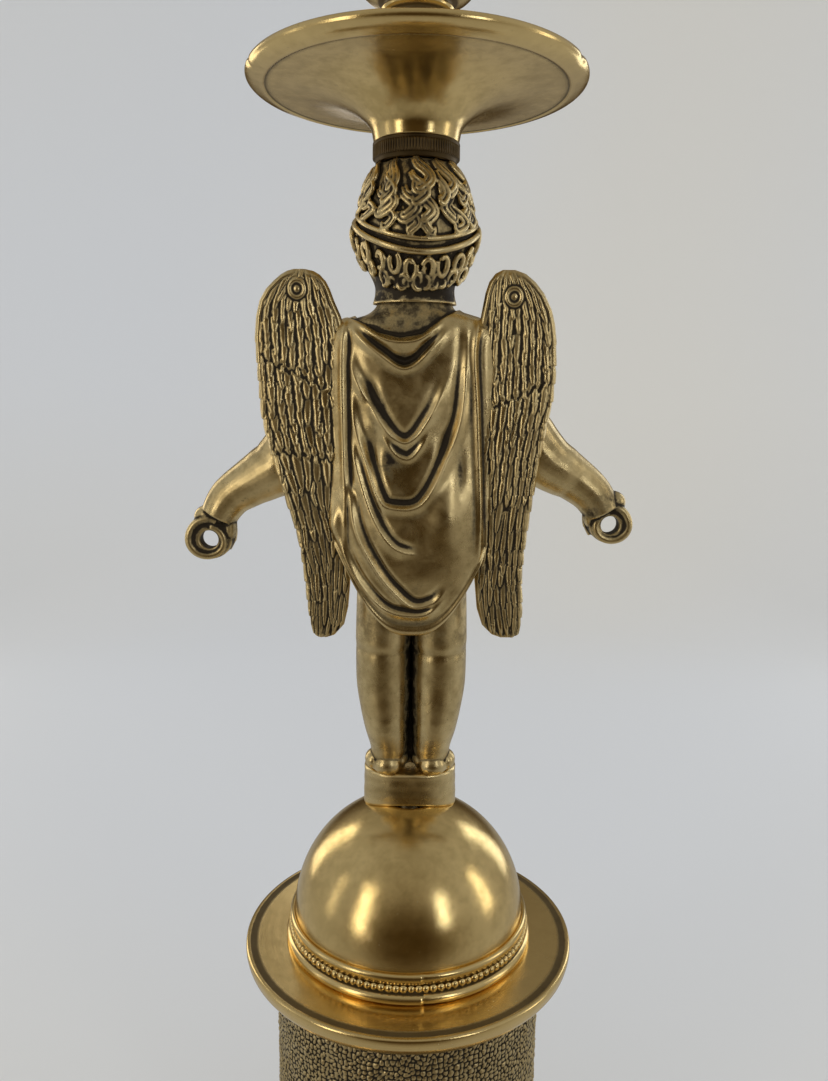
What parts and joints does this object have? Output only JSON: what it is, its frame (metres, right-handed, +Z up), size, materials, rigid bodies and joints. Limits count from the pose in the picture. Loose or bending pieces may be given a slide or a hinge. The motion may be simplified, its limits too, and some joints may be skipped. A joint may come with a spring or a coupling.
{
  "type": "figural candlestick",
  "caption": "Brass candlestick: a winged child on a dome and a round column carries a drip pan and a candle cup on its head.",
  "frame": {"origin": "centre of the underside, on the surface it stands on", "axes": "+Z up along the column axis; the figure faces -Y; the figure's own left is +X"},
  "size_m": [0.128, 0.128, 0.3896],
  "materials": {
    "polished_brass": "polished, softly worn",
    "antique_brass": "antique, dark in the recesses",
    "stippled_brass": "matt, punched stipple with bright peaks",
    "dark_brass": "blackened knurling",
    "pin_brass": "machined",
    "steel": "dull, oxidised",
    "green_felt": "felt"
  },
  "bodies": {
    "stand": {"felt_pad": "green_felt", "foot": "polished_brass", "column_base": "polished_brass", "column_bead_ring": "polished_brass", "column_drum": "stippled_brass", "column_cap": "polished_brass", "dome_bead_ring": "polished_brass", "dome": "polished_brass", "tie_rod": "steel", "tie_washer": "steel", "tie_nut": "steel", "foot_block": "antique_brass", "left_leg": "antique_brass", "right_leg": "antique_brass", "leg_pins": "pin_brass", "torso": "antique_brass", "head": "antique_brass", "neck_pin": "pin_brass", "left_arm": "antique_brass", "right_arm": "antique_brass", "arm_pins": "pin_brass", "left_wing": "antique_brass", "right_wing": "antique_brass", "wing_pins": "pin_brass", "head_stud": "pin_brass", "neck_collar": "dark_brass"},
    "pan": {"drip_pan": "polished_brass"},
    "cup": {"candle_cup": "polished_brass"},
    "nozzle": {"candle_nozzle": "polished_brass"}
  },
  "joints": [
    {"name": "pan_rise", "type": "slide", "parent": "stand", "child": "pan", "axis": [0, 0, 1], "range_m": [0, 0.006]},
    {"name": "cup_unscrew", "type": "hinge", "parent": "pan", "child": "cup", "pos_m": [0, 0, 0.332], "axis": [0, 0, 1], "range_deg": [0, 2160]},
    {"name": "nozzle_lift", "type": "slide", "parent": "cup", "child": "nozzle", "axis": [0, 0, 1], "range_m": [0, 0.026]}
  ],
  "couplings": [
    {"joint": "pan_rise", "follows": "cup_unscrew", "m_per_rad": 0.000159}
  ]
}
